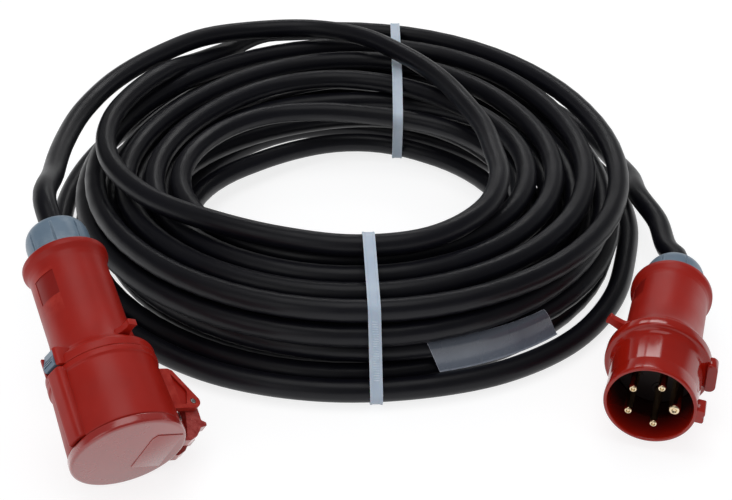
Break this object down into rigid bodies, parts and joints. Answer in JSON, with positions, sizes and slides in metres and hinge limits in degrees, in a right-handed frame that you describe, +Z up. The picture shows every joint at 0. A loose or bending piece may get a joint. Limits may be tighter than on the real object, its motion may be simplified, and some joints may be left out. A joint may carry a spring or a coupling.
{
  "type": "industrial extension lead",
  "caption": "Coiled rubber extension lead tied with two cable ties, with a pin-and-shroud plug on one end and a flip-lid connector on the other.",
  "frame": {"origin": "on the floor, under the middle of the box round the plug and the connector", "axes": "+X from the connector to the plug, +Y back towards the coil, +Z up"},
  "size_m": [0.4653, 0.5471, 0.1052],
  "materials": {
    "brass": "nickel-plated brass, satin",
    "cable_rubber": "satin rubber sheath",
    "core_black": "satin insulation",
    "core_blue": "satin insulation",
    "core_brown": "satin insulation",
    "core_green": "satin insulation",
    "core_grey": "satin insulation",
    "dark_insert": "satin moulded plastic",
    "grey_plastic": "satin moulded plastic",
    "label_grey": "satin film",
    "red_plastic": "semi-gloss moulded plastic",
    "seal_rubber": "matt",
    "steel": "zinc-plated",
    "tie_nylon": "translucent nylon, satin"
  },
  "bodies": {
    "lead": {"back_tie": "tie_nylon", "connector_clamp_ring": "grey_plastic", "connector_front_housing": "red_plastic", "connector_gland_seal": "seal_rubber", "connector_insert": "dark_insert", "connector_rear_housing": "red_plastic", "cord_coil": "cable_rubber", "cord_tail_connector": "cable_rubber", "cord_tail_plug": "cable_rubber", "front_tie": "tie_nylon", "label_sleeve": "label_grey", "lid_hinge_pin": "steel", "lid_spring": "steel", "plug_clamp_ring": "grey_plastic", "plug_core_earth": "core_green", "plug_core_line_1": "core_brown", "plug_core_line_2": "core_black", "plug_core_line_3": "core_grey", "plug_core_neutral": "core_blue", "plug_front_housing": "red_plastic", "plug_gland_seal": "seal_rubber", "plug_insert": "dark_insert", "plug_pin_earth": "brass", "plug_pin_line_1": "brass", "plug_pin_line_2": "brass", "plug_pin_line_3": "brass", "plug_pin_neutral": "brass", "plug_rear_housing": "red_plastic", "plug_screw_earth": "steel", "plug_screw_line_1": "steel", "plug_screw_line_2": "steel", "plug_screw_line_3": "steel", "plug_screw_neutral": "steel", "socket_contact_earth": "brass", "socket_contact_line_1": "brass", "socket_contact_line_2": "brass", "socket_contact_line_3": "brass", "socket_contact_neutral": "brass", "socket_core_earth": "core_green", "socket_core_line_1": "core_brown", "socket_core_line_2": "core_black", "socket_core_line_3": "core_grey", "socket_core_neutral": "core_blue", "socket_screw_earth": "steel", "socket_screw_line_1": "steel", "socket_screw_line_2": "steel", "socket_screw_line_3": "steel", "socket_screw_neutral": "steel"},
    "lid": {"connector_lid": "red_plastic", "lid_gasket": "seal_rubber"},
    "latch": {"connector_latch": "grey_plastic"},
    "plug_nut": {"plug_gland_nut": "grey_plastic"},
    "connector_nut": {"connector_gland_nut": "grey_plastic"}
  },
  "joints": [
    {"name": "lid_hinge", "type": "hinge", "parent": "lead", "child": "lid", "pos_m": [-0.11836, -0.03633, 0.02273], "axis": [0.5204, -0.1181, 0.8457], "range_deg": [0, 110], "stiffness_Nm_per_rad": 0.02, "springref_deg": -34.38},
    {"name": "latch_press", "type": "slide", "parent": "lead", "child": "latch", "axis": [0.6625, 0.5186, -0.5406], "range_m": [0, 0.0018], "stiffness_N_per_m": 900, "springref_m": -0.001},
    {"name": "plug_nut_turn", "type": "hinge", "parent": "lead", "child": "plug_nut", "pos_m": [0.19715, 0.08421, 0.03054], "axis": [-0.294, -0.9555, 0.0227], "range_deg": [0, 720]},
    {"name": "connector_nut_turn", "type": "hinge", "parent": "lead", "child": "connector_nut", "pos_m": [-0.19884, 0.04706, 0.08389], "axis": [0.3805, -0.8546, -0.3535], "range_deg": [0, 720]}
  ]
}
